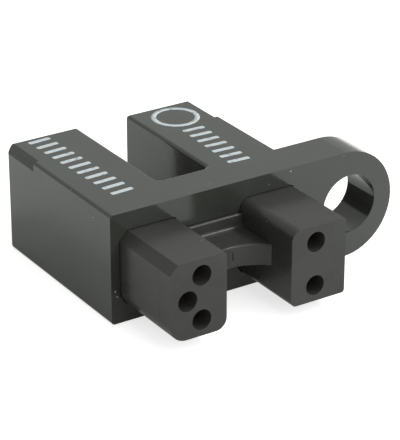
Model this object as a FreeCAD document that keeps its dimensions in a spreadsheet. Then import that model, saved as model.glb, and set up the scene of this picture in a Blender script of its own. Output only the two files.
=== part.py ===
import FreeCAD, Part
import math
import os
import Sketcher

# Slotted optical sensor in the shape of a fork. Two hollow prongs stand on a flange that ends in
# a round ear with a screw hole. The left prong holds the detector, the right one the emitter,
# and their leads end in pin sockets in two blocks behind the flange.
#
# Every piece is drawn in the fork's own frame: X runs from the left outer face towards the ear,
# Y from the flange's rear face towards the prong tips, and Z from the underside up. The same
# placement then carries each piece so that the origin is the screw hole's centre at the flange's
# rear face, with X towards the ear's end and Y along the hole.

doc = FreeCAD.newDocument("fork_sensor")

# Driving dimensions in millimetres and degrees.
DRIVING_SIZES = (
    ("body_high", 6.35),
    ("prong_wide", 4.45),
    ("prong_reach", 8.65),
    ("slot_wide", 3.2),
    ("slot_root_round", 0.3),
    ("flange_thick", 2.5),
    ("hole_offset", 9.3),
    ("ear_inset", 0.3),
    ("screw_hole_wide", 3.5),
    ("long_edge_round", 0.2),
    ("tip_edge_round", 0.15),
    ("tip_relief_long", 3.0),
    ("tip_relief_across", 0.35),
    ("tip_relief_down", 0.55),
    ("slot_wall", 0.8),
    ("tip_wall", 1.0),
    ("cavity_wide", 2.75),
    ("cavity_high", 3.65),
    ("cavity_round", 0.3),
    ("seat_gap", 0.05),
    ("block_spacing", 4.05),
    ("block_wide", 3.45),
    ("block_high", 4.4),
    ("block_drop", 0.1),
    ("block_reach", 4.85),
    ("block_sink", 1.6),
    ("detector_key_round", 1.0),
    ("detector_inner_round", 0.65),
    ("detector_key_chamfer", 0.5),
    ("emitter_key_round", 0.6),
    ("emitter_low_round", 0.35),
    ("small_corner_round", 0.18),
    ("bridge_high", 2.75),
    ("bridge_sink", 0.8),
    ("bridge_proud", 0.2),
    ("bridge_edge_round", 0.12),
    ("web_thick", 1.26),
    ("web_arc_spare", 0.64),
    ("web_arc_inset", 0.11),
    ("web_edge_round", 0.12),
    ("web_root_round", 0.22),
    ("pin_line_offset", 3.55),
    ("pin_pitch", 2.54),
    ("pin_stagger", 0.85),
    ("pin_hole_wide", 1.15),
    ("pin_hole_deep", 5.5),
    ("contact_recess", 1.4),
    ("sleeve_bore_wide", 0.72),
    ("sleeve_bore_deep", 3.0),
    ("sleeve_mouth_chamfer", 0.07),
    ("solder_gap", 0.045),
    ("solder_bore_deep", 0.7),
    ("clip_wall", 0.07),
    ("clip_ring_long", 0.6),
    ("clip_long", 2.2),
    ("clip_throat_wide", 0.4),
    ("clip_slit_wide", 0.12),
    ("clip_inset", 0.15),
    ("lead_wide", 0.48),
    ("lead_thick", 0.38),
    ("lead_bend_round", 0.45),
    ("lead_bend_turn", 60.0),
    ("lead_bend_gap", 0.2),
    ("lead_bore_gap", 0.07),
    ("package_long", 4.8),
    ("package_gap", 0.05),
    ("package_end_gap", 0.1),
    ("package_chamfer", 0.2),
    ("lens_from_front", 1.7),
    ("lens_base_round", 1.1),
    ("lens_high", 0.6),
    ("lens_gap", 0.2),
    ("slit_plate_thick", 0.2),
    ("slit_plate_long", 3.0),
    ("slit_wide", 0.5),
    ("slit_high", 2.2),
)

sizes = doc.addObject("Spreadsheet::Sheet", "Sizes")
for row, (alias, value) in enumerate(DRIVING_SIZES, 1):
    sizes.set(f"A{row}", alias.replace("_", " "))
    sizes.set(f"B{row}", str(value))
    sizes.setAlias(f"B{row}", alias)
doc.recompute()


def size(alias):
    """The sheet's cell with this alias, as it is written in an expression."""
    return f"Sizes.{alias}"


def read(expression):
    """The value of an expression, as a plain number."""
    return float(sizes.evalExpression(expression))


# Lines that several pieces share, as expressions in the fork's frame.
MIDDLE_Z = f"({size('body_high')} / 2)"
BODY_WIDE = f"(2 * {size('prong_wide')} + {size('slot_wide')})"
SLOT_MIDDLE = f"({BODY_WIDE} / 2)"
EAR_X = f"({SLOT_MIDDLE} + {size('hole_offset')})"
EAR_ARC_X = f"({EAR_X} - {size('ear_inset')})"
TIP_Y = f"({size('flange_thick')} + {size('prong_reach')})"
CAVITY_END_Y = f"({TIP_Y} - {size('tip_wall')})"
PACKAGE_FRONT_Y = f"({CAVITY_END_Y} - {size('package_end_gap')})"
PACKAGE_BACK_Y = f"({PACKAGE_FRONT_Y} - {size('package_long')})"
LENS_Y = f"({PACKAGE_FRONT_Y} - {size('lens_from_front')})"
BLOCK_MIDDLE_Z = f"({MIDDLE_Z} - {size('block_drop')})"
BLOCK_LOW_Z = f"({BLOCK_MIDDLE_Z} - {size('block_high')} / 2)"
BLOCK_TOP_Z = f"({BLOCK_MIDDLE_Z} + {size('block_high')} / 2)"
BRIDGE_LOW_Z = f"({MIDDLE_Z} - {size('bridge_high')} / 2)"
BRIDGE_TOP_Z = f"({MIDDLE_Z} + {size('bridge_high')} / 2)"
WEB_LOW_Z = f"({MIDDLE_Z} - {size('web_thick')} / 2)"
WEB_TOP_Z = f"({MIDDLE_Z} + {size('web_thick')} / 2)"
WEB_ARC_ROUND = f"({size('block_spacing')} / 2 + {size('web_arc_spare')})"
WEB_ARC_BACK = f"({size('block_reach')} - {size('web_arc_inset')})"
CAVITY_LOW_Z = f"({MIDDLE_Z} - {size('cavity_high')} / 2)"
CAVITY_TOP_Z = f"({MIDDLE_Z} + {size('cavity_high')} / 2)"
PIN_LOW_Z = f"({BLOCK_MIDDLE_Z} - {size('pin_pitch')} / 2)"
PIN_TOP_Z = f"({BLOCK_MIDDLE_Z} + {size('pin_pitch')} / 2)"
PIN_HOLE_END_Y = f"({size('pin_hole_deep')} - {size('block_reach')})"
SLEEVE_MOUTH_Y = f"({size('contact_recess')} - {size('block_reach')})"
SLEEVE_LONG = f"({PIN_HOLE_END_Y} - {SLEEVE_MOUTH_Y})"
LEAD_ACROSS = f"sqrt({size('lead_wide')}^2 + {size('lead_thick')}^2)"
SOLDER_BORE_WIDE = f"({LEAD_ACROSS} + 2 * {size('solder_gap')})"
LEAD_BORE_WIDE = f"({LEAD_ACROSS} + 2 * {size('lead_bore_gap')})"
LEAD_START_Y = f"({PIN_HOLE_END_Y} - {size('solder_bore_deep')})"
LEAD_LONG = f"({PACKAGE_BACK_Y} - {LEAD_START_Y})"
# A double bend is two arcs with a slope between them; the slope makes up the rest of the shift.
BEND_SLOPE = (f"(({size('pin_stagger')} - 2 * {size('lead_bend_round')}"
              f" * (1 - cos({size('lead_bend_turn')}))) / sin({size('lead_bend_turn')}))")
BEND_LONG = (f"(2 * {size('lead_bend_round')} * sin({size('lead_bend_turn')})"
             f" + {BEND_SLOPE} * cos({size('lead_bend_turn')}))")
LEAD_BEND_Y = f"({LEAD_LONG} - {size('lead_bend_gap')} - {BEND_LONG})"


def mirrored(x):
    """The same place on the other side of the slot."""
    return f"({BODY_WIDE} - {x})"


class Side:
    """The lines across the fork that belong to one prong, with low X first in each pair."""

    def __init__(self, name, right):
        self.name = name
        self.right = right
        flip = mirrored if right else str
        self.outer = flip("0")
        block_inner = f"({SLOT_MIDDLE} - {size('block_spacing')} / 2)"
        self.block = self.pair(flip, f"({block_inner} - {size('block_wide')})", block_inner)
        cavity_inner = f"({size('prong_wide')} - {size('slot_wall')})"
        self.cavity = self.pair(flip, f"({cavity_inner} - {size('cavity_wide')})", cavity_inner)
        self.pin_x = flip(f"({SLOT_MIDDLE} - {size('pin_line_offset')})")
        self.stagger_x = flip(f"({SLOT_MIDDLE} - {size('pin_line_offset')} - {size('pin_stagger')})")

    @staticmethod
    def pair(flip, near, far):
        """Two lines in the order of rising X."""
        return tuple(sorted((flip(near), flip(far)), key=read))


DETECTOR = Side("detector", False)
EMITTER = Side("emitter", True)
SIDES = (DETECTOR, EMITTER)


class Pin:
    """One lead with its contact: the line of its hole, and the shift to the package's lead line."""

    def __init__(self, side, role, z, staggered=False):
        self.name = f"{side.name}_{role}"
        self.z = z
        self.x = side.stagger_x if staggered else side.pin_x
        sign = "+" if side.right else "-"
        self.jog = "0" if staggered else f"(0 {sign} {size('pin_stagger')})"


PINS = (
    Pin(DETECTOR, "supply", PIN_TOP_Z),
    Pin(DETECTOR, "output", BLOCK_MIDDLE_Z, staggered=True),
    Pin(DETECTOR, "ground", PIN_LOW_Z),
    Pin(EMITTER, "anode", PIN_TOP_Z),
    Pin(EMITTER, "cathode", PIN_LOW_Z),
)


def origin_plane(body, role):
    """One of the body's own origin planes."""
    for feature in body.Origin.OriginFeatures:
        if feature.Role == role:
            return feature
    raise ValueError(role)


def place(piece, x="0", y="0", z="0"):
    """Binds a piece's placement: a point of the fork's frame, seen from the screw hole."""
    piece.setExpression(".Placement.Base.x", f"{x} - {EAR_X}")
    piece.setExpression(".Placement.Base.y", y)
    piece.setExpression(".Placement.Base.z", f"{z} - {MIDDLE_Z}")


def new_body(name, x="0", y="0", z="0"):
    """An empty body whose own origin is at a point of the fork's frame."""
    body = doc.addObject("PartDesign::Body", name)
    body.Label = name
    place(body, x, y, z)
    return body


def new_sketch(body, name, role, lift="0"):
    """A sketch on an origin plane, lifted along the plane's normal.

    The normal of the XZ plane points to the rear, towards low Y."""
    sketch = body.newObject("Sketcher::SketchObject", name)
    sketch.AttachmentSupport = [(origin_plane(body, role), "")]
    sketch.MapMode = "FlatFace"
    sketch.setExpression("AttachmentOffset.Base.z", lift)
    return sketch


def bind(sketch, constraint, expression):
    """Adds a dimension and binds it to an expression."""
    index = sketch.addConstraint(constraint)
    sketch.setExpression(f"Constraints[{index}]", expression)


def fix_point(sketch, geometry, end, x, y):
    """Holds one end of a line or arc, or a circle's centre, at x and y."""
    for kind, axis, expression in (("DistanceX", -2, x), ("DistanceY", -1, y)):
        value = read(expression)
        if abs(value) < 1e-9:
            sketch.addConstraint(Sketcher.Constraint("PointOnObject", geometry, end, axis))
        else:
            bind(sketch, Sketcher.Constraint(kind, -1, 1, geometry, end, value), expression)


def outline(sketch, corners):
    """A closed outline of straight sides through corners given as pairs of expressions."""
    points = [FreeCAD.Vector(read(x), read(y), 0) for x, y in corners]
    first = sketch.GeometryCount
    count = len(points)
    for index, point in enumerate(points):
        sketch.addGeometry(Part.LineSegment(point, points[(index + 1) % count]))
    for index in range(count):
        following = first + (index + 1) % count
        sketch.addConstraint(Sketcher.Constraint("Coincident", first + index, 2, following, 1))
    for index, (x, y) in enumerate(corners):
        fix_point(sketch, first + index, 1, x, y)


def add_arc(sketch, centre_x, centre_y, radius, start, end):
    """An arc about a fixed centre, counter-clockwise between two angles in degrees."""
    centre = FreeCAD.Vector(read(centre_x), read(centre_y), 0)
    full = Part.Circle(centre, FreeCAD.Vector(0, 0, 1), read(radius))
    arc = sketch.addGeometry(Part.ArcOfCircle(full, math.radians(start), math.radians(end)))
    fix_point(sketch, arc, 3, centre_x, centre_y)
    bind(sketch, Sketcher.Constraint("Radius", arc, read(radius)), radius)
    return arc


def rounded_rectangle(sketch, low_x, high_x, low_y, high_y, radius, square_base=False):
    """A rectangle with rounded corners; a square base keeps the two at low Y sharp."""
    corners = (
        (high_x, high_y, "-", "-"),
        (low_x, high_y, "+", "-"),
        (low_x, low_y, "+", "+"),
        (high_x, low_y, "-", "+"),
    )
    stops = []
    for quarter, (x, y, across, up) in enumerate(corners):
        if square_base and quarter > 1:
            point = FreeCAD.Vector(read(x), read(y), 0)
            stops.append((point, point, None))
            continue
        centre = (f"({x} {across} {radius})", f"({y} {up} {radius})")
        arc = add_arc(sketch, *centre, radius, 90 * quarter, 90 * quarter + 90)
        curve = sketch.Geometry[arc]
        stops.append((curve.StartPoint, curve.EndPoint, arc))
    sides = [sketch.addGeometry(Part.LineSegment(stop[1], stops[(index + 1) % 4][0]))
             for index, stop in enumerate(stops)]
    for index, (_, _, arc) in enumerate(stops):
        arriving, leaving = sides[index - 1], sides[index]
        if arc is None:
            sketch.addConstraint(Sketcher.Constraint("Coincident", arriving, 2, leaving, 1))
            fix_point(sketch, leaving, 1, *corners[index][:2])
        else:
            sketch.addConstraint(Sketcher.Constraint("Tangent", arriving, 2, arc, 1))
            sketch.addConstraint(Sketcher.Constraint("Tangent", arc, 2, leaving, 1))


def rectangle(sketch, low_x, high_x, low_y, high_y):
    """A rectangle between four lines."""
    outline(sketch, ((low_x, low_y), (high_x, low_y), (high_x, high_y), (low_x, high_y)))


def circle(sketch, x, y, wide):
    """A circle of the given diameter about a point."""
    centre = FreeCAD.Vector(read(x), read(y), 0)
    geometry = sketch.addGeometry(Part.Circle(centre, FreeCAD.Vector(0, 0, 1), read(wide) / 2))
    fix_point(sketch, geometry, 3, x, y)
    bind(sketch, Sketcher.Constraint("Diameter", geometry, read(wide)), wide)


def pad(body, sketch, long, forward=False):
    """Adds material along the sketch's normal, or against it when forward is set."""
    feature = body.newObject("PartDesign::Pad", sketch.Name + "_pad")
    feature.Profile = sketch
    feature.Reversed = forward
    feature.setExpression("Length", long)
    doc.recompute()
    return feature


def pocket(body, sketch, deep, reverse=False):
    """Cuts against the sketch's normal, or along it when reverse is set, and must remove material."""
    before = body.Shape.Volume
    feature = body.newObject("PartDesign::Pocket", sketch.Name + "_pocket")
    feature.Profile = sketch
    feature.Reversed = reverse
    feature.setExpression("Length", deep)
    doc.recompute()
    if body.Shape.Volume >= before:
        raise RuntimeError(f"{feature.Name} cuts nothing")
    return feature


def revolve(body, sketch):
    """Turns a half profile once about the body's own Y axis."""
    feature = body.newObject("PartDesign::Revolution", sketch.Name + "_turned")
    feature.Profile = sketch
    feature.ReferenceAxis = (sketch, ["V_Axis"])
    feature.Angle = 360
    doc.recompute()
    return feature


def edge_names(shape, test):
    """The names of the edges that pass a test."""
    return [f"Edge{index}" for index, edge in enumerate(shape.Edges, 1) if test(edge)]


def along(axis, others):
    """A test for straight edges that run along one axis through two lines."""
    wanted = [(name, read(expression)) for name, expression in others.items()]

    def test(edge):
        if edge.Degenerated or edge.Curve.TypeId != "Part::GeomLine":
            return False
        direction = edge.Curve.Direction
        if abs(abs(getattr(direction, axis)) - 1) > 1e-6:
            return False
        middle = edge.CenterOfMass
        return all(abs(getattr(middle, name) - value) < 1e-3 for name, value in wanted)

    return test


def finish_edges(body, name, kind, tests, size_property, expression):
    """Rounds or chamfers the edges that pass any of the tests."""
    base = body.Tip
    names = edge_names(base.Shape, lambda edge: any(test(edge) for test in tests))
    if not names:
        raise RuntimeError(f"{name} finds no edges")
    feature = body.newObject(kind, name)
    feature.Base = (base, names)
    feature.setExpression(size_property, expression)
    doc.recompute()
    return feature


def circular(x, radius, z):
    """A test for arcs of one radius about an upright axis, at one height."""
    centre_x, wanted, height = read(x), read(radius), read(z)

    def test(edge):
        if edge.Degenerated or edge.Curve.TypeId != "Part::GeomCircle":
            return False
        centre = edge.Curve.Center
        near = (abs(centre.x - centre_x), abs(edge.Curve.Radius - wanted), abs(centre.z - height))
        return max(near) < 1e-3

    return test


def round_edges(body, name, tests, radius):
    """Rounds the edges that pass any of the tests."""
    return finish_edges(body, name, "PartDesign::Fillet", tests, "Radius", radius)


def chamfer_edges(body, name, tests, leg):
    """Chamfers the edges that pass any of the tests."""
    return finish_edges(body, name, "PartDesign::Chamfer", tests, "Size", leg)


def key_corners(body, prefix, grow):
    """Rounds the long corners of both blocks, or of their seats when grow is the gap around them.

    The detector block is keyed by two large lower rounds and a chamfer, the emitter block by one
    large upper round, so that neither goes into the other's plug."""
    low = f"({BLOCK_LOW_Z} - {grow})"
    top = f"({BLOCK_TOP_Z} + {grow})"
    left = {side.name: f"({side.block[0]} - {grow})" for side in SIDES}
    right = {side.name: f"({side.block[1]} + {grow})" for side in SIDES}
    beside_bridge = f"({BRIDGE_LOW_Z} - {BLOCK_LOW_Z} - {size('seat_gap')})"
    corners = (
        ("detector_key", left["detector"], low, size("detector_key_round")),
        ("detector_inner", right["detector"], low,
         f"min({size('detector_inner_round')}; {beside_bridge})"),
        ("emitter_key", left["emitter"], top, f"min({size('emitter_key_round')}; {beside_bridge})"),
        ("emitter_low", left["emitter"], low, f"min({size('emitter_low_round')}; {beside_bridge})"),
    )
    for name, x, z, radius in corners:
        round_edges(body, f"{prefix}_{name}", [along("y", {"x": x, "z": z})], f"{radius} + {grow}")
    plain = ((right["detector"], top), (right["emitter"], low), (right["emitter"], top))
    round_edges(body, f"{prefix}_plain_corners", [along("y", {"x": x, "z": z}) for x, z in plain],
                f"{size('small_corner_round')} + {grow}")
    chamfer_edges(body, f"{prefix}_detector_chamfer",
                  [along("y", {"x": left["detector"], "z": top})],
                  f"{size('detector_key_chamfer')} + {grow}")


def build_housing():
    """One moulding: flange with ear, two hollow prongs, and the seats for the socket carrier."""
    body = new_body("housing")

    flange = new_sketch(body, "flange_profile", "XZ_Plane")
    rectangle(flange, "0", EAR_ARC_X, "0", size("body_high"))
    pad(body, flange, size("flange_thick"), forward=True)

    ear = new_sketch(body, "ear_profile", "XZ_Plane")
    circle(ear, EAR_ARC_X, MIDDLE_Z, size("body_high"))
    pad(body, ear, size("flange_thick"), forward=True)

    prongs = new_sketch(body, "prong_plan", "XY_Plane")
    for low_x, high_x in (("0", size("prong_wide")), (mirrored(size("prong_wide")), BODY_WIDE)):
        rounded_rectangle(prongs, low_x, high_x, size("flange_thick"), TIP_Y,
                          size("tip_edge_round"), square_base=True)
    pad(body, prongs, size("body_high"))
    roots = [along("z", {"x": x, "y": size("flange_thick")})
             for x in (size("prong_wide"), mirrored(size("prong_wide")))]
    round_edges(body, "slot_roots", roots, size("slot_root_round"))

    hole = new_sketch(body, "screw_hole_profile", "XZ_Plane")
    circle(hole, EAR_X, MIDDLE_Z, size("screw_hole_wide"))
    pocket(body, hole, size("flange_thick"))

    # Sloping relief on the outer top edge of each prong, which ends in a step.
    relief = new_sketch(body, "tip_relief_profile", "XZ_Plane", f"-{TIP_Y}")
    for side in SIDES:
        inward, outward = ("-", "+") if side.right else ("+", "-")
        slope_x = f"({side.outer} {inward} {size('tip_relief_across')})"
        clear_x = f"({side.outer} {outward} {size('tip_relief_down')})"
        slope_z = f"({size('body_high')} - {size('tip_relief_down')})"
        clear_z = f"({size('body_high')} + {size('tip_relief_down')})"
        outline(relief, ((side.outer, slope_z), (slope_x, size("body_high")), (slope_x, clear_z),
                         (clear_x, clear_z), (clear_x, slope_z)))
    pocket(body, relief, size("tip_relief_long"), reverse=True)

    long_edges = [along("y", {"x": x, "z": z})
                  for x in (size("prong_wide"), mirrored(size("prong_wide")), "0", BODY_WIDE)
                  for z in (size("body_high"), "0")]
    round_edges(body, "long_edges", long_edges, size("long_edge_round"))

    # Cavities for the optical packages, open to the rear.
    cavities = new_sketch(body, "cavity_profile", "XZ_Plane")
    for side in SIDES:
        rounded_rectangle(cavities, *side.cavity, CAVITY_LOW_Z, CAVITY_TOP_Z, size("cavity_round"))
    pocket(body, cavities, CAVITY_END_Y)

    # Seats of the two blocks, joined by the groove of the bridge between them.
    gap = size("seat_gap")
    seats = new_sketch(body, "seat_profile", "XZ_Plane")
    for side in SIDES:
        rectangle(seats, f"({side.block[0]} - {gap})", f"({side.block[1]} + {gap})",
                  f"({BLOCK_LOW_Z} - {gap})", f"({BLOCK_TOP_Z} + {gap})")
    pocket(body, seats, size("block_sink"))
    key_corners(body, "seat", gap)
    groove = new_sketch(body, "bridge_groove_profile", "XZ_Plane")
    rectangle(groove, DETECTOR.pin_x, EMITTER.pin_x,
              f"({BRIDGE_LOW_Z} - {gap})", f"({BRIDGE_TOP_Z} + {gap})")
    pocket(body, groove, size("bridge_sink"))
    return body


def build_socket_carrier():
    """One moulding: two keyed blocks with pin holes, and the bridge and web between them."""
    body = new_body("socket_carrier")

    blocks = new_sketch(body, "block_profile", "XZ_Plane", f"-{size('block_sink')}")
    for side in SIDES:
        rectangle(blocks, side.block[0], side.block[1], BLOCK_LOW_Z, BLOCK_TOP_Z)
    pad(body, blocks, f"{size('block_sink')} + {size('block_reach')}")
    key_corners(body, "block", "0")

    # The bridge lies in its groove and stands a little proud of the flange.
    bridge = new_sketch(body, "bridge_profile", "XZ_Plane", f"-{size('bridge_sink')}")
    rectangle(bridge, DETECTOR.pin_x, EMITTER.pin_x, BRIDGE_LOW_Z, BRIDGE_TOP_Z)
    pad(body, bridge, f"{size('bridge_sink')} + {size('bridge_proud')}")
    bridge_rear = f"(0 - {size('bridge_proud')})"
    round_edges(body, "bridge_edges",
                [along("x", {"y": bridge_rear, "z": z}) for z in (BRIDGE_LOW_Z, BRIDGE_TOP_Z)],
                size("bridge_edge_round"))

    # The web's rear edge is a hollow arc between the blocks.
    web = new_sketch(body, "web_plan", "XY_Plane", WEB_LOW_Z)
    rise = math.degrees(math.acos(read(size("block_spacing")) / 2 / read(WEB_ARC_ROUND)))
    arc = add_arc(web, SLOT_MIDDLE, f"(0 - {WEB_ARC_BACK})", WEB_ARC_ROUND, rise, 180 - rise)
    arc_end_y = math.sin(math.radians(rise)) * read(WEB_ARC_ROUND) - read(WEB_ARC_BACK)
    left, right = read(DETECTOR.block[1]), read(EMITTER.block[0])
    front = read(bridge_rear)
    ends = (
        ((left, arc_end_y), (left, front)),
        ((left, front), (right, front)),
        ((right, front), (right, arc_end_y)),
    )
    left_side, front_side, right_side = (
        web.addGeometry(Part.LineSegment(FreeCAD.Vector(*start, 0), FreeCAD.Vector(*end, 0)))
        for start, end in ends)
    joints = (
        ("Coincident", arc, 2, left_side, 1),
        ("Coincident", left_side, 2, front_side, 1),
        ("Coincident", front_side, 2, right_side, 1),
        ("Coincident", right_side, 2, arc, 1),
        ("Vertical", left_side),
        ("Vertical", right_side),
    )
    for joint in joints:
        web.addConstraint(Sketcher.Constraint(*joint))
    fix_point(web, front_side, 1, DETECTOR.block[1], bridge_rear)
    fix_point(web, front_side, 2, EMITTER.block[0], bridge_rear)
    pad(body, web, size("web_thick"))
    round_edges(body, "web_root",
                [along("x", {"y": bridge_rear, "z": z}) for z in (WEB_LOW_Z, WEB_TOP_Z)],
                size("web_root_round"))
    round_edges(body, "web_edges", [circular(SLOT_MIDDLE, WEB_ARC_ROUND, z)
                                    for z in (WEB_LOW_Z, WEB_TOP_Z)], size("web_edge_round"))

    # A sleeve is pressed into each pin hole, and a narrower bore lets its lead through.
    steps = (
        ("pin_hole", size("pin_hole_wide"), size("pin_hole_deep")),
        ("lead_bore", LEAD_BORE_WIDE, f"{size('block_reach')} + {size('block_sink')}"),
    )
    for name, wide, deep in steps:
        profile = new_sketch(body, f"{name}_profile", "XZ_Plane", size("block_reach"))
        for pin in PINS:
            circle(profile, pin.x, pin.z, wide)
        pocket(body, profile, deep)
    return body


def build_sleeve(pin):
    """Turned contact sleeve in a pin hole: open to the rear, with a solder bore for the lead."""
    body = new_body(f"{pin.name}_sleeve", pin.x, SLEEVE_MOUTH_Y, pin.z)
    half = new_sketch(body, f"{pin.name}_sleeve_half", "XY_Plane")
    outer = f"({size('pin_hole_wide')} / 2)"
    bore = f"({size('sleeve_bore_wide')} / 2)"
    solder = f"({SOLDER_BORE_WIDE} / 2)"
    mouth = size("sleeve_mouth_chamfer")
    solder_y = f"({SLEEVE_LONG} - {size('solder_bore_deep')})"
    outline(half, (
        (f"({bore} + {mouth})", "0"),
        (outer, "0"),
        (outer, SLEEVE_LONG),
        (solder, SLEEVE_LONG),
        (solder, solder_y),
        ("0", solder_y),
        ("0", size("sleeve_bore_deep")),
        (bore, size("sleeve_bore_deep")),
        (bore, mouth),
    ))
    revolve(body, half)
    return body


def build_clip(pin):
    """Spring clip in a sleeve: a ring at the mouth and four fingers that close on the pin."""
    body = new_body(f"{pin.name}_clip", pin.x, f"({SLEEVE_MOUTH_Y} + {size('clip_inset')})", pin.z)
    half = new_sketch(body, f"{pin.name}_clip_half", "XY_Plane")
    outer = f"({size('sleeve_bore_wide')} / 2)"
    wall = size("clip_wall")
    throat = f"({size('clip_throat_wide')} / 2)"
    ring = size("clip_ring_long")
    outline(half, (
        (f"({outer} - {wall})", "0"),
        (outer, "0"),
        (outer, ring),
        (f"({throat} + {wall})", size("clip_long")),
        (throat, size("clip_long")),
        (f"({outer} - {wall})", ring),
    ))
    revolve(body, half)

    # Two crossed slits part the fingers, and leave the ring whole.
    slits = new_sketch(body, f"{pin.name}_clip_slits", "XZ_Plane", f"-{size('clip_long')}")
    reach = size("sleeve_bore_wide")
    half_slit = f"({size('clip_slit_wide')} / 2)"
    cross = ((half_slit, reach), (reach, half_slit))
    corners = []
    for sign_x, sign_z in ((1, 1), (1, -1), (-1, -1), (-1, 1)):
        turn = cross if sign_x == sign_z else cross[::-1]
        inner = (half_slit, half_slit)
        for x, z in (turn[0], inner, turn[1]):
            corners.append((x if sign_x > 0 else f"(0 - {x})", z if sign_z > 0 else f"(0 - {z})"))
    outline(slits, corners)
    pocket(body, slits, f"{size('clip_long')} - {ring}", reverse=True)
    return body


def build_lead(pin):
    """Flat lead from the package to the sleeve, with a double bend where the two are out of line."""
    body = new_body(f"{pin.name}_lead", pin.x, LEAD_START_Y, pin.z)
    section = new_sketch(body, f"{pin.name}_lead_section", "XZ_Plane")
    half_thick = f"({size('lead_thick')} / 2)"
    half_wide = f"({size('lead_wide')} / 2)"
    rectangle(section, f"(0 - {half_thick})", half_thick, f"(0 - {half_wide})", half_wide)
    if pin.jog == "0":
        pad(body, section, LEAD_LONG, forward=True)
        return body
    spine = new_sketch(body, f"{pin.name}_lead_line", "XY_Plane")
    bent_line(spine, pin.jog)
    pipe = body.newObject("PartDesign::AdditivePipe", f"{pin.name}_lead_pipe")
    pipe.Profile = section
    pipe.Spine = (spine, [f"Edge{index}" for index in range(1, 6)])
    doc.recompute()
    return body


def bent_line(sketch, jog):
    """A line along Y with a double bend that shifts it by jog along X."""
    sign = math.copysign(1, read(jog))
    radius = read(size("lead_bend_round"))
    turn = read(size("lead_bend_turn"))
    across = abs(read(jog))
    bend_y = read(LEAD_BEND_Y)
    direction = FreeCAD.Vector(sign * math.sin(math.radians(turn)), math.cos(math.radians(turn)), 0)
    first_centre = FreeCAD.Vector(sign * radius, bend_y, 0)
    first_end = first_centre + FreeCAD.Vector(-sign * radius * math.cos(math.radians(turn)),
                                              radius * math.sin(math.radians(turn)), 0)
    second_start = first_end + direction * read(BEND_SLOPE)
    second_centre = FreeCAD.Vector(sign * (across - radius),
                                   second_start.y + radius * math.sin(math.radians(turn)), 0)
    start = FreeCAD.Vector(0, 0, 0)
    first_start = FreeCAD.Vector(0, bend_y, 0)
    second_end = FreeCAD.Vector(sign * across, second_centre.y, 0)
    end = FreeCAD.Vector(sign * across, read(LEAD_LONG), 0)

    low_line = sketch.addGeometry(Part.LineSegment(start, first_start))
    first_arc = sketch.addGeometry(arc_between(first_centre, radius, first_start, first_end))
    slope_line = sketch.addGeometry(Part.LineSegment(first_end, second_start))
    second_arc = sketch.addGeometry(arc_between(second_centre, radius, second_start, second_end))
    high_line = sketch.addGeometry(Part.LineSegment(second_end, end))
    # An arc runs counter-clockwise, so its first end is the path's start only on a left turn.
    first_ends = (2, 1) if sign > 0 else (1, 2)
    second_ends = (1, 2) if sign > 0 else (2, 1)
    joints = (
        ("Tangent", low_line, 2, first_arc, first_ends[0]),
        ("Tangent", first_arc, first_ends[1], slope_line, 1),
        ("Tangent", slope_line, 2, second_arc, second_ends[0]),
        ("Tangent", second_arc, second_ends[1], high_line, 1),
        ("Coincident", low_line, 1, -1, 1),
        ("Vertical", low_line),
        ("Vertical", high_line),
        ("Equal", first_arc, second_arc),
    )
    for joint in joints:
        sketch.addConstraint(Sketcher.Constraint(*joint))
    bind(sketch, Sketcher.Constraint("DistanceY", -1, 1, low_line, 2, bend_y), LEAD_BEND_Y)
    bind(sketch, Sketcher.Constraint("Radius", first_arc, radius), size("lead_bend_round"))
    bind(sketch, Sketcher.Constraint("Angle", slope_line, math.radians(90 - sign * turn)),
         f"90 {'-' if sign > 0 else '+'} {size('lead_bend_turn')}")
    fix_point(sketch, high_line, 2, jog, LEAD_LONG)


def arc_between(centre, radius, start, end):
    """The short arc about a centre between two points on it."""
    angles = [math.atan2((point - centre).y, (point - centre).x) for point in (start, end)]
    if (angles[1] - angles[0]) % (2 * math.pi) > math.pi:
        angles.reverse()
    full = Part.Circle(centre, FreeCAD.Vector(0, 0, 1), radius)
    return Part.ArcOfCircle(full, angles[0], angles[0] + (angles[1] - angles[0]) % (2 * math.pi))


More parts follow.
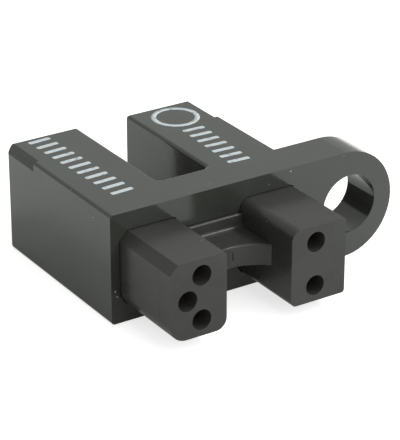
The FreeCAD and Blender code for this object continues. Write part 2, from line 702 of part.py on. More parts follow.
def build_package(side):
    """Moulded optical package with a lens that looks into the slot."""
    body = new_body(f"{side.name}_package")
    slot_side = f"({size('slit_plate_thick')} + {size('lens_gap')} + {size('lens_high')})"
    near, far = (slot_side, size("package_gap"))[::1 if side.right else -1]
    low_x = f"({side.cavity[0]} + {near})"
    high_x = f"({side.cavity[1]} - {far})"
    low_z = f"({CAVITY_LOW_Z} + {size('package_gap')})"
    top_z = f"({CAVITY_TOP_Z} - {size('package_gap')})"
    section = new_sketch(body, f"{side.name}_package_section", "XZ_Plane", f"-{PACKAGE_BACK_Y}")
    rectangle(section, low_x, high_x, low_z, top_z)
    pad(body, section, size("package_long"), forward=True)
    chamfer_edges(body, f"{side.name}_package_bevels",
                  [along("y", {"x": x, "z": z}) for x in (low_x, high_x) for z in (low_z, top_z)]
                  + [along("x", {"y": PACKAGE_FRONT_Y, "z": z}) for z in (low_z, top_z)]
                  + [along("z", {"x": x, "y": PACKAGE_FRONT_Y}) for x in (low_x, high_x)],
                  size("package_chamfer"))

    # The lens is the cap of a sphere that stands on the package's slot side.
    rise, back = ("-", "+") if side.right else ("+", "-")
    face_x = low_x if side.right else high_x
    ball = f"(({size('lens_base_round')}^2 + {size('lens_high')}^2) / (2 * {size('lens_high')}))"
    lens = body.newObject("PartDesign::AdditiveSphere", f"{side.name}_lens")
    lens.AttachmentSupport = [(origin_plane(body, "YZ_Plane"), "")]
    lens.MapMode = "FlatFace"
    turn = 180 if side.right else 0
    lens.AttachmentOffset = FreeCAD.Placement(FreeCAD.Vector(0, 0, 0),
                                              FreeCAD.Rotation(FreeCAD.Vector(0, 1, 0), turn))
    lens.setExpression("AttachmentOffset.Base.x", LENS_Y)
    lens.setExpression("AttachmentOffset.Base.y", MIDDLE_Z)
    lens.setExpression("AttachmentOffset.Base.z",
                       f"{face_x} {rise} {size('lens_high')} {back} {ball}")
    lens.setExpression("Radius", ball)
    lens.setExpression("Angle1", f"asin(({ball} - {size('lens_high')}) / {ball})")
    doc.recompute()
    return body


def bound_box(name, corner, spans):
    """A box bound to expressions: its low corner in the fork's frame and its three spans."""
    box = doc.addObject("Part::Box", name)
    for axis, expression in zip("xyz", corner):
        box.setExpression(f".Placement.Base.{axis}", expression)
    for prop, expression in zip(("Length", "Width", "Height"), spans):
        box.setExpression(prop, expression)
    return box


def build_slit_plate():
    """Thin plate with a slit, which lies on the slot wall in front of the detector's lens."""
    plate_x = f"({DETECTOR.cavity[1]} - {size('slit_plate_thick')})"
    plate_y = f"({LENS_Y} - {size('slit_plate_long')} / 2)"
    plate_high = f"({size('cavity_high')} - 2 * {size('cavity_round')})"
    plate = bound_box("detector_slit_plate_blank",
                      (plate_x, plate_y, f"({MIDDLE_Z} - {plate_high} / 2)"),
                      (size("slit_plate_thick"), size("slit_plate_long"), plate_high))
    slit = bound_box("detector_slit",
                     (plate_x, f"({LENS_Y} - {size('slit_wide')} / 2)",
                      f"({MIDDLE_Z} - {size('slit_high')} / 2)"),
                     (size("slit_plate_thick"), size("slit_wide"), size("slit_high")))
    cut = doc.addObject("Part::Cut", "detector_slit_plate")
    cut.Label = "detector_slit_plate"
    cut.Base = plate
    cut.Tool = slit
    place(cut)
    doc.recompute()
    return cut


pieces = [build_housing(), build_socket_carrier()]
for side in SIDES:
    pieces.append(build_package(side))
pieces.append(build_slit_plate())
for pin in PINS:
    pieces += [build_lead(pin), build_sleeve(pin), build_clip(pin)]
doc.recompute()

for thing in doc.Objects:
    if "Invalid" in thing.State or "Error" in thing.State:
        raise RuntimeError(f"{thing.Name} failed: {thing.State}")
for piece in pieces:
    if piece.Shape.isNull() or not piece.Shape.isValid():
        raise RuntimeError(f"{piece.Label} has no valid shape")
    if len(piece.Shape.Solids) != 1:
        raise RuntimeError(f"{piece.Label} is {len(piece.Shape.Solids)} solids")

os.makedirs("parts", exist_ok=True)
for piece in pieces:
    piece.Shape.exportStep(f"parts/{piece.Label}.step")
    box = piece.Shape.BoundBox
    print(piece.Label, "volume", round(piece.Shape.Volume, 3), "mm3,",
          " x ".join(f"{side:.2f}" for side in (box.XLength, box.YLength, box.ZLength)))
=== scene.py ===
import math

import bmesh
import bpy
from mathutils import Matrix, Vector


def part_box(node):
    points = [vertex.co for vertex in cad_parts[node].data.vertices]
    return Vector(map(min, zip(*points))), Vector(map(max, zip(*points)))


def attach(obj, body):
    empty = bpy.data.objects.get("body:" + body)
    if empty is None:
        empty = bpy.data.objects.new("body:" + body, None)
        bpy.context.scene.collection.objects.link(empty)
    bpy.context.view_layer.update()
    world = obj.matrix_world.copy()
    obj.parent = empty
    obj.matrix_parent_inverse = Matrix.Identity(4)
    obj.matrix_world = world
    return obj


bl_info = {
    "name": "Fork Sensor Finish",
    "version": (1, 0, 0),
    "blender": (4, 5, 0),
    "location": "View3D > Sidebar > Fork Sensor",
    "description": "Finishes, print and studio for a slotted optical sensor",
    "category": "Object",
}

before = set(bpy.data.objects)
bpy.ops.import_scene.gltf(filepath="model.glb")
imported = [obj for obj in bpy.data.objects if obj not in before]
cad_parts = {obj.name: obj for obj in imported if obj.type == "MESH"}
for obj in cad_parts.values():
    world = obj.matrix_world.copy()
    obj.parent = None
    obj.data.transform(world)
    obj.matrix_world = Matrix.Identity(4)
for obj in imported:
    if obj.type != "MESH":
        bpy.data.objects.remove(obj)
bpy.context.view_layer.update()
MM = 0.001
BODY = "root"
HOUSING_LOW, HOUSING_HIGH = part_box("housing")
CONTACT_NAMES = ("detector_supply", "detector_output", "detector_ground",
                 "emitter_anode", "emitter_cathode")


def linear(hex_colour):
    """An sRGB hex colour as linear red, green, blue and full alpha."""
    channels = [int(hex_colour[i:i + 2], 16) / 255 for i in (1, 3, 5)]
    return tuple(c / 12.92 if c <= 0.04045 else ((c + 0.055) / 1.055) ** 2.4
                 for c in channels) + (1.0,)


def per_mm(size_mm):
    """The scale of a texture on Object coordinates whose features are this many millimetres."""
    return 1 / (size_mm * MM)


def add_node(tree, kind, place, settings=None, **inputs):
    """Adds a node with its settings; an input is a value or another node's output socket."""
    node = tree.nodes.new(kind)
    node.location = place
    for key, value in (settings or {}).items():
        setattr(node, key, value)
    for key, value in inputs.items():
        name = key.replace("_", " ")
        socket = next(s for s in node.inputs
                      if s.enabled and (s.name == name or s.identifier == key))
        if isinstance(value, bpy.types.NodeSocket):
            tree.links.new(value, socket)
        else:
            socket.default_value = value
    return node


def new_material(name):
    """An empty material with its output node."""
    material = bpy.data.materials.new(name)
    material.use_nodes = True
    material.node_tree.nodes.clear()
    output = material.node_tree.nodes.new("ShaderNodeOutputMaterial")
    output.location = (900, 0)
    return material, material.node_tree, output


def dress(names, material):
    """Gives each CAD node the material in all its slots."""
    for name in names:
        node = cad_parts[name]
        if not node.material_slots:
            node.data.materials.append(material)
        for slot in node.material_slots:
            slot.material = material


class HousingFinish(bpy.types.PropertyGroup):
    """Finish of the two black mouldings."""
    housing_colour: bpy.props.StringProperty(
        name="Housing colour", description="sRGB hex colour of the housing's plastic",
        default="#343532")
    carrier_colour: bpy.props.StringProperty(
        name="Carrier colour", description="sRGB hex colour of the socket carrier's plastic",
        default="#3a3938")
    housing_roughness: bpy.props.FloatProperty(
        name="Housing roughness", description="Roughness of the polished mould surface",
        default=0.14, min=0.0, max=1.0, subtype="FACTOR")
    carrier_roughness: bpy.props.FloatProperty(
        name="Carrier roughness", description="Roughness of the socket carrier",
        default=0.28, min=0.0, max=1.0, subtype="FACTOR")


class MetalFinish(bpy.types.PropertyGroup):
    """Finish of the contacts and of the pieces inside."""
    sleeve_colour: bpy.props.StringProperty(
        name="Sleeve colour", description="sRGB hex colour of turned brass", default="#b9a67a")
    clip_colour: bpy.props.StringProperty(
        name="Clip colour", description="sRGB hex colour of the thin gold on the clips",
        default="#e0b870")
    lead_colour: bpy.props.StringProperty(
        name="Lead colour", description="sRGB hex colour of bright tin", default="#d4d4d0")


class PrintFinish(bpy.types.PropertyGroup):
    """The generic white print on the prongs' tops."""
    ink_colour: bpy.props.StringProperty(
        name="Ink colour", description="sRGB hex colour of the white ink", default="#d2d8de")
    film: bpy.props.FloatProperty(
        name="Film", description="Thickness of the ink on the plastic",
        default=0.012 * MM, unit="LENGTH", precision=6)
    line: bpy.props.FloatProperty(
        name="Line", description="Width of the printed lines",
        default=0.3 * MM, unit="LENGTH", precision=6)
    bars: bpy.props.IntProperty(
        name="Bars", description="Bars in the long row on the detector's prong", default=11, min=2)
    short_bars: bpy.props.IntProperty(
        name="Short bars", description="Bars in the row on the emitter's prong", default=7, min=2)
    ring_radius: bpy.props.FloatProperty(
        name="Ring radius", description="Radius of the ring on the emitter's prong",
        default=1.25 * MM, unit="LENGTH", precision=6)
    pitch: bpy.props.FloatProperty(
        name="Pitch", description="Distance from bar to bar",
        default=0.82 * MM, unit="LENGTH", precision=6)
    bar_long: bpy.props.FloatProperty(
        name="Bar length", description="Length of a bar across the prong",
        default=1.36 * MM, unit="LENGTH", precision=6)
    turn: bpy.props.FloatProperty(
        name="Turn", description="How far the print stands askew on the prong",
        default=math.radians(3.0), subtype="ANGLE")


class MarkFinish(bpy.types.PropertyGroup):
    """Dust, painted glints and a dark fleck on the mouldings."""
    # The pale colour is dust and also the painted glints on the left rear corner edge.
    pale_colour: bpy.props.StringProperty(
        name="Pale colour", description="sRGB hex colour of dust and of nicked edges",
        default="#b9bab4")
    # The dark colour is a dark fleck on the web's rear face, by the left block.
    dark_colour: bpy.props.StringProperty(
        name="Dark colour", description="sRGB hex colour of the scuff on the web",
        default="#1c1c1a")


class StudioLook(bpy.types.PropertyGroup):
    """Floor, lamps, surroundings and camera."""
    floor_colour: bpy.props.StringProperty(
        name="Floor colour", description="sRGB hex colour of the floor", default="#f2f2f2")
    front_strength: bpy.props.FloatProperty(
        name="Front strength", description="Radiance of the large soft lamp in front",
        default=2.0, min=0.0)
    key_strength: bpy.props.FloatProperty(
        name="Key strength", description="Radiance of the smaller lamp above the right",
        default=15.0, min=0.0)
    sky_strength: bpy.props.FloatProperty(
        name="Sky strength", description="Strength of the surroundings on matt surfaces",
        default=0.45, min=0.0)
    mirrored_strength: bpy.props.FloatProperty(
        name="Mirrored strength", description="Strength of the surroundings in reflections",
        default=0.8, min=0.0)
    paper_glow: bpy.props.FloatProperty(
        name="Paper glow", description="Light that lifts the paper to white for the camera",
        default=0.7, min=0.0)
    # Painted shade and glow: how brightly the paper shows in reflections, beside the sensor and
    # further out.
    shaded_sheen: bpy.props.FloatProperty(
        name="Shaded sheen", description="Light of the paper in reflections beside the sensor",
        default=0.13, min=0.0)
    open_sheen: bpy.props.FloatProperty(
        name="Open sheen", description="Light of the paper in reflections further out",
        default=0.74, min=0.0)
    light_tint: bpy.props.StringProperty(
        name="Light tint", description="sRGB hex colour of the lamps and surroundings",
        default="#fbfffb")
    camera_place: bpy.props.FloatVectorProperty(
        name="Camera place", description="Where the camera stands",
        default=(-65.188 * MM, -85.795 * MM, 50.133 * MM), size=3, subtype="TRANSLATION",
        precision=5)
    azimuth: bpy.props.FloatProperty(
        name="Azimuth", description="Camera's turn round the object, 0 looks along +Y",
        default=math.radians(-32.829), subtype="ANGLE")
    elevation: bpy.props.FloatProperty(
        name="Elevation", description="How far the camera looks down",
        default=math.radians(25.446), subtype="ANGLE")
    lens: bpy.props.FloatProperty(
        name="Lens", description="Focal length for a 36 mm sensor", default=174.76, min=10.0)


def moulded_plastic(name, hex_colour, roughness, specular, clouding, grain_mm):
    """Injection-moulded thermoplastic filled with carbon black.

    The eye gets a deep neutral black that white surroundings lift to grey, sharp but slightly
    wavy reflections, faint clouds where the melt flowed, fine hairline rubs, and grey dust
    specks of a few hundredths of a millimetre, drawn coarser here so that they show. A lower
    `specular` gives the drier look of a surface with a fine moulding grain."""
    material, tree, output = new_material(name)
    coords = add_node(tree, "ShaderNodeTexCoord", (-1500, 0)).outputs["Object"]
    speck_reach = 0.10
    speck_rarity = 0.965
    rub_strength = 0.10
    dust_strength = 0.3

    # Flow clouds: broad, weak changes of tone and gloss, 2.5 mm across.
    clouds = add_node(tree, "ShaderNodeTexNoise", (-1200, 300), Vector=coords,
                      Scale=per_mm(2.5), Detail=3.0, Roughness=0.55).outputs[0]
    # Dust: cells of 0.45 mm, of which one in thirty has a speck at its middle.
    cells = add_node(tree, "ShaderNodeTexVoronoi", (-1200, 0), Vector=coords, Scale=per_mm(0.45))
    near = add_node(tree, "ShaderNodeMath", (-1000, 0), {"operation": "LESS_THAN"})
    tree.links.new(cells.outputs["Distance"], near.inputs[0])
    near.inputs[1].default_value = speck_reach
    chance = add_node(tree, "ShaderNodeSeparateColor", (-1000, -150), Color=cells.outputs["Color"])
    rare = add_node(tree, "ShaderNodeMath", (-800, -150), {"operation": "GREATER_THAN"})
    tree.links.new(chance.outputs["Red"], rare.inputs[0])
    rare.inputs[1].default_value = speck_rarity
    speck = add_node(tree, "ShaderNodeMath", (-600, 0), {"operation": "MULTIPLY"})
    tree.links.new(near.outputs[0], speck.inputs[0])
    tree.links.new(rare.outputs[0], speck.inputs[1])
    # Hairline rubs: noise drawn out along Y, 0.06 mm wide and 4 mm long.
    stretch = add_node(tree, "ShaderNodeMapping", (-1400, -400), Vector=coords,
                       Scale=(per_mm(0.06), per_mm(4.0), per_mm(0.09)),
                       Rotation=(0.2, 0.1, 0.35))
    rubs = add_node(tree, "ShaderNodeTexNoise", (-1200, -400), Vector=stretch.outputs[0],
                    Scale=1.0, Detail=2.0, Roughness=0.5).outputs[0]
    rub = add_node(tree, "ShaderNodeMapRange", (-1000, -400), Value=rubs,
                   From_Min=0.66, From_Max=0.78, To_Min=0.0, To_Max=1.0).outputs[0]

    base = linear(hex_colour)
    lighter = tuple(min(1.0, c * (1 + clouding)) for c in base[:3]) + (1.0,)
    darker = tuple(c * (1 - clouding) for c in base[:3]) + (1.0,)
    tone = add_node(tree, "ShaderNodeValToRGB", (-900, 350), Fac=clouds)
    tone.color_ramp.elements[0].position = 0.3
    tone.color_ramp.elements[0].color = darker
    tone.color_ramp.elements[1].position = 0.7
    tone.color_ramp.elements[1].color = lighter
    rubbed = add_node(tree, "ShaderNodeMix", (-400, 250), {"data_type": "RGBA"})
    rub_share = add_node(tree, "ShaderNodeMath", (-700, -300), {"operation": "MULTIPLY"})
    tree.links.new(rub, rub_share.inputs[0])
    rub_share.inputs[1].default_value = rub_strength
    tree.links.new(rub_share.outputs[0], rubbed.inputs[0])
    tree.links.new(tone.outputs["Color"], rubbed.inputs[6])
    rubbed.inputs[7].default_value = linear("#9a9a98")
    dusty = add_node(tree, "ShaderNodeMix", (-200, 250), {"data_type": "RGBA"})
    dust_share = add_node(tree, "ShaderNodeMath", (-400, 50), {"operation": "MULTIPLY"})
    tree.links.new(speck.outputs[0], dust_share.inputs[0])
    dust_share.inputs[1].default_value = dust_strength
    tree.links.new(dust_share.outputs[0], dusty.inputs[0])
    tree.links.new(rubbed.outputs[2], dusty.inputs[6])
    dusty.inputs[7].default_value = linear("#a9a9a6")

    gloss = add_node(tree, "ShaderNodeMapRange", (-400, -100), Value=clouds,
                     From_Min=0.3, From_Max=0.7,
                     To_Min=roughness * 0.85, To_Max=roughness * 1.2).outputs[0]
    # Orange peel of 0.7 mm under the moulding grain.
    peel = add_node(tree, "ShaderNodeTexNoise", (-900, -650), Vector=coords,
                    Scale=per_mm(0.7), Detail=1.0).outputs[0]
    grain = add_node(tree, "ShaderNodeTexNoise", (-900, -850), Vector=coords,
                     Scale=per_mm(grain_mm), Detail=2.0).outputs[0]
    wavy = add_node(tree, "ShaderNodeBump", (-500, -650), Strength=0.3,
                    Distance=0.012 * MM, Height=peel)
    grained = add_node(tree, "ShaderNodeBump", (-250, -700), Strength=0.25,
                       Distance=0.0025 * MM, Height=grain, Normal=wavy.outputs[0])
    shader = add_node(tree, "ShaderNodeBsdfPrincipled", (300, 0),
                      Base_Color=dusty.outputs[2], Roughness=gloss, IOR=1.5,
                      Specular_IOR_Level=specular, Normal=grained.outputs[0])
    tree.links.new(shader.outputs[0], output.inputs["Surface"])
    return material


def metal(name, hex_colour, roughness, line_mm, dull_hex):
    """Bare or plated metal with turning or rolling lines and patches of thin tarnish."""
    material, tree, output = new_material(name)
    coords = add_node(tree, "ShaderNodeTexCoord", (-1200, 0)).outputs["Object"]
    stretch = add_node(tree, "ShaderNodeMapping", (-1000, -200), Vector=coords,
                       Scale=(per_mm(0.8), per_mm(line_mm), per_mm(0.8)))
    lines = add_node(tree, "ShaderNodeTexNoise", (-800, -200), Vector=stretch.outputs[0],
                     Scale=1.0, Detail=2.0).outputs[0]
    patches = add_node(tree, "ShaderNodeTexNoise", (-800, 200), Vector=coords,
                       Scale=per_mm(0.6), Detail=3.0).outputs[0]
    tone = add_node(tree, "ShaderNodeValToRGB", (-500, 200), Fac=patches)
    tone.color_ramp.elements[0].position = 0.35
    tone.color_ramp.elements[0].color = linear(dull_hex)
    tone.color_ramp.elements[1].position = 0.6
    tone.color_ramp.elements[1].color = linear(hex_colour)
    gloss = add_node(tree, "ShaderNodeMapRange", (-500, 0), Value=patches,
                     To_Min=roughness * 1.3, To_Max=roughness * 0.8).outputs[0]
    bump = add_node(tree, "ShaderNodeBump", (-300, -200), Strength=0.5,
                    Distance=0.003 * MM, Height=lines)
    shader = add_node(tree, "ShaderNodeBsdfPrincipled", (300, 0), Base_Color=tone.outputs["Color"],
                      Metallic=1.0, Roughness=gloss, Normal=bump.outputs[0])
    tree.links.new(shader.outputs[0], output.inputs["Surface"])
    return material


def cast_epoxy(name, hex_colour, passes):
    """Cast optical epoxy, IOR 1.55: glossy, tinted through, with faint swirls in the tint."""
    material, tree, output = new_material(name)
    coords = add_node(tree, "ShaderNodeTexCoord", (-1000, 0)).outputs["Object"]
    swirls = add_node(tree, "ShaderNodeTexNoise", (-800, 0), Vector=coords, Scale=per_mm(1.2),
                      Detail=3.0, Distortion=1.5).outputs[0]
    base = linear(hex_colour)
    tone = add_node(tree, "ShaderNodeValToRGB", (-500, 100), Fac=swirls)
    tone.color_ramp.elements[0].color = tuple(c * 0.8 for c in base[:3]) + (1.0,)
    tone.color_ramp.elements[1].color = tuple(min(1, c * 1.2) for c in base[:3]) + (1.0,)
    gloss = add_node(tree, "ShaderNodeMapRange", (-500, -100), Value=swirls,
                     To_Min=0.06, To_Max=0.12).outputs[0]
    shader = add_node(tree, "ShaderNodeBsdfPrincipled", (300, 0), Base_Color=tone.outputs["Color"],
                      Roughness=gloss, IOR=1.55, Transmission_Weight=passes)
    tree.links.new(shader.outputs[0], output.inputs["Surface"])
    return material


def pad_printing_ink(hex_colour):
    """White two-part ink laid on by a soft pad: matt, a little thin, with pinholes."""
    material, tree, output = new_material("white_pad_printing_ink")
    coords = add_node(tree, "ShaderNodeTexCoord", (-1000, 0)).outputs["Object"]
    thin = add_node(tree, "ShaderNodeTexNoise", (-800, 100), Vector=coords, Scale=per_mm(0.35),
                    Detail=3.0).outputs[0]
    tone = add_node(tree, "ShaderNodeValToRGB", (-500, 100), Fac=thin)
    tone.color_ramp.elements[0].position = 0.27
    tone.color_ramp.elements[0].color = linear("#8f9295")
    tone.color_ramp.elements[1].position = 0.45
    tone.color_ramp.elements[1].color = linear(hex_colour)
    bump = add_node(tree, "ShaderNodeBump", (-300, -200), Strength=0.5, Distance=0.004 * MM,
                    Height=thin)
    shader = add_node(tree, "ShaderNodeBsdfPrincipled", (300, 0), Base_Color=tone.outputs["Color"],
                      Roughness=0.5, IOR=1.48, Normal=bump.outputs[0])
    tree.links.new(shader.outputs[0], output.inputs["Surface"])
    return material


def matt_fleck_finish(name, hex_colour):
    """Dry matt flecks for dust, for the painted glints on an edge and for a dark fleck: uneven in
    tone at a few hundredths of a millimetre.
    """
    material, tree, output = new_material(name)
    coords = add_node(tree, "ShaderNodeTexCoord", (-900, 0)).outputs["Object"]
    crumbs = add_node(tree, "ShaderNodeTexNoise", (-700, 0), Vector=coords, Scale=per_mm(0.04),
                      Detail=2.0).outputs[0]
    base = linear(hex_colour)
    tone = add_node(tree, "ShaderNodeValToRGB", (-450, 0), Fac=crumbs)
    tone.color_ramp.elements[0].color = tuple(c * 0.6 for c in base[:3]) + (1.0,)
    tone.color_ramp.elements[1].color = base
    shader = add_node(tree, "ShaderNodeBsdfPrincipled", (300, 0), Base_Color=tone.outputs["Color"],
                      Roughness=0.8, IOR=1.5)
    tree.links.new(shader.outputs[0], output.inputs["Surface"])
    return material


def bake(obj, name, matrix):
    """Turns an object's evaluated shape into a plain mesh piece, carried by a matrix."""
    depsgraph = bpy.context.evaluated_depsgraph_get()
    mesh = bpy.data.meshes.new_from_object(obj.evaluated_get(depsgraph))
    mesh.name = name
    mesh.transform(matrix)
    holder = obj.data
    bpy.data.objects.remove(obj)
    bpy.data.meshes.remove(holder)
    piece = bpy.data.objects.new(name, mesh)
    bpy.context.scene.collection.objects.link(piece)
    return piece


def run_tree(group, name, values, matrix):
    """Runs a geometry tree on an empty mesh with these inputs, and bakes what it makes."""
    holder = bpy.data.objects.new(name + "_source", bpy.data.meshes.new(name + "_source"))
    bpy.context.scene.collection.objects.link(holder)
    modifier = holder.modifiers.new("Shape", "NODES")
    modifier.node_group = group
    for item in group.interface.items_tree:
        if item.item_type == "SOCKET" and item.in_out == "INPUT" and item.name in values:
            modifier[item.identifier] = values[item.name]
    return bake(holder, name, matrix)


def new_geometry_tree(name, inputs):
    """A geometry tree with named inputs and one geometry output."""
    group = bpy.data.node_groups.new(name, "GeometryNodeTree")
    for label, kind, default in inputs:
        socket = group.interface.new_socket(label, in_out="INPUT", socket_type=kind)
        if default is not None:
            socket.default_value = default
    group.interface.new_socket("Geometry", in_out="OUTPUT", socket_type="NodeSocketGeometry")
    entry = group.nodes.new("NodeGroupInput")
    entry.location = (-900, 0)
    leave = group.nodes.new("NodeGroupOutput")
    leave.location = (900, 0)
    return group, entry, leave


def film_shape(group, entry, outline, place):
    """Fills a flat outline and gives it the film's thickness, with the lower face closed."""
    filled = add_node(group, "GeometryNodeFillCurve", place, {}, Curve=outline)
    raised = add_node(group, "GeometryNodeExtrudeMesh", (place[0] + 180, place[1]),
                      Mesh=filled.outputs[0], Offset_Scale=entry.outputs["Film"])
    raised.inputs["Individual"].default_value = False
    under = add_node(group, "GeometryNodeFlipFaces", (place[0] + 180, place[1] - 250),
                     Mesh=filled.outputs[0])
    closed = add_node(group, "GeometryNodeJoinGeometry", (place[0] + 360, place[1]))
    group.links.new(raised.outputs["Mesh"], closed.inputs[0])
    group.links.new(under.outputs[0], closed.inputs[0])
    welded = add_node(group, "GeometryNodeMergeByDistance", (place[0] + 540, place[1]),
                      Geometry=closed.outputs[0], Distance=1e-7)
    return welded.outputs[0]


def bar_row_tree():
    """A row of flat bars with rounded corners, at an even pitch along Y."""
    group, entry, leave = new_geometry_tree("Printed bar row", (
        ("Bars", "NodeSocketInt", 8),
        ("Pitch", "NodeSocketFloat", 0.8 * MM),
        ("Bar length", "NodeSocketFloat", 1.3 * MM),
        ("Line", "NodeSocketFloat", 0.3 * MM),
        ("Film", "NodeSocketFloat", 0.012 * MM),
        ("Ink", "NodeSocketMaterial", None),
    ))
    step = add_node(group, "ShaderNodeCombineXYZ", (-600, 200), Y=entry.outputs["Pitch"])
    points = add_node(group, "GeometryNodeMeshLine", (-400, 200), {"mode": "OFFSET"},
                      Count=entry.outputs["Bars"], Offset=step.outputs[0])
    bar = add_node(group, "GeometryNodeCurvePrimitiveQuadrilateral", (-700, -100),
                   Width=entry.outputs["Bar length"], Height=entry.outputs["Line"])
    corner = add_node(group, "ShaderNodeMath", (-700, -350), {"operation": "MULTIPLY"})
    group.links.new(entry.outputs["Line"], corner.inputs[0])
    corner.inputs[1].default_value = 0.3
    rounded = add_node(group, "GeometryNodeFilletCurve", (-500, -100), {"mode": "POLY"},
                       Curve=bar.outputs[0], Count=3, Radius=corner.outputs[0])
    shape = film_shape(group, entry, rounded.outputs[0], (-300, -100))
    copies = add_node(group, "GeometryNodeInstanceOnPoints", (400, 100),
                      Points=points.outputs[0], Instance=shape)
    real = add_node(group, "GeometryNodeRealizeInstances", (560, 100), Geometry=copies.outputs[0])
    inked = add_node(group, "GeometryNodeSetMaterial", (720, 100), Geometry=real.outputs[0],
                     Material=entry.outputs["Ink"])
    group.links.new(inked.outputs[0], leave.inputs[0])
    return group


def ring_tree():
    """A flat ring that follows a circle."""
    group, entry, leave = new_geometry_tree("Printed ring", (
        ("Radius", "NodeSocketFloat", 1.2 * MM),
        ("Line", "NodeSocketFloat", 0.3 * MM),
        ("Film", "NodeSocketFloat", 0.012 * MM),
        ("Ink", "NodeSocketMaterial", None),
    ))
    path = add_node(group, "GeometryNodeCurvePrimitiveCircle", (-500, 100), Resolution=72,
                    Radius=entry.outputs["Radius"])
    band = add_node(group, "GeometryNodeCurvePrimitiveQuadrilateral", (-500, -200),
                    Width=entry.outputs["Line"], Height=entry.outputs["Film"])
    swept = add_node(group, "GeometryNodeCurveToMesh", (-200, 0), Curve=path.outputs[0],
                     Profile_Curve=band.outputs[0])
    real = add_node(group, "GeometryNodeRealizeInstances", (300, 0), Geometry=swept.outputs[0])
    inked = add_node(group, "GeometryNodeSetMaterial", (500, 0), Geometry=real.outputs[0],
                     Material=entry.outputs["Ink"])
    group.links.new(inked.outputs[0], leave.inputs[0])
    return group


def fleck(name, centre, normal, radius, tall, seed, material):
    """A small irregular fleck, flat on the surface that it lies on: dust, a painted glint, or the
    dark fleck.
    """
    sides = 11
    top_share = 0.8
    thickness = radius * 0.12
    builder = bmesh.new()
    rim = []
    for step in range(sides):
        angle = 2 * math.pi * step / sides
        # Two waves round the rim, turned by the seed, make each outline uneven.
        uneven = 0.75 + 0.25 * math.sin(seed + 2.3 * step) + 0.12 * math.sin(seed * 3 + step)
        reach = radius * uneven
        rim.append(builder.verts.new((reach * math.cos(angle), reach * tall * math.sin(angle), 0)))
    top = [builder.verts.new(v.co * top_share + Vector((0, 0, thickness))) for v in rim]
    for step in range(sides):
        after = (step + 1) % sides
        builder.faces.new((rim[step], rim[after], top[after], top[step]))
    builder.faces.new(top)
    builder.faces.new(rim[::-1])
    bmesh.ops.recalc_face_normals(builder, faces=builder.faces)
    mesh = bpy.data.meshes.new(name)
    builder.to_mesh(mesh)
    builder.free()
    turn = Vector(normal).to_track_quat("Z", "Y").to_matrix().to_4x4()
    mesh.transform(Matrix.Translation(centre) @ turn)
    mesh.materials.append(material)
    piece = bpy.data.objects.new(name, mesh)
    bpy.context.scene.collection.objects.link(piece)
    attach(piece, BODY)
    return piece


def soft_lamp(name, direction, distance, size, radiance, colour):
    """A square soft box that faces the sensor, with the radiance that its face has."""
    lamp = bpy.data.lights.new(name, "AREA")
    lamp.shape = "SQUARE"
    lamp.size = size
    lamp.energy = radiance * math.pi * size * size
    lamp.color = colour
    obj = bpy.data.objects.new(name, lamp)
    bpy.context.scene.collection.objects.link(obj)
    middle = (HOUSING_LOW + HOUSING_HIGH) / 2
    obj.location = middle + direction.normalized() * distance
    obj.rotation_mode = "QUATERNION"
    obj.rotation_quaternion = direction.to_track_quat("Z", "Y")
    return obj


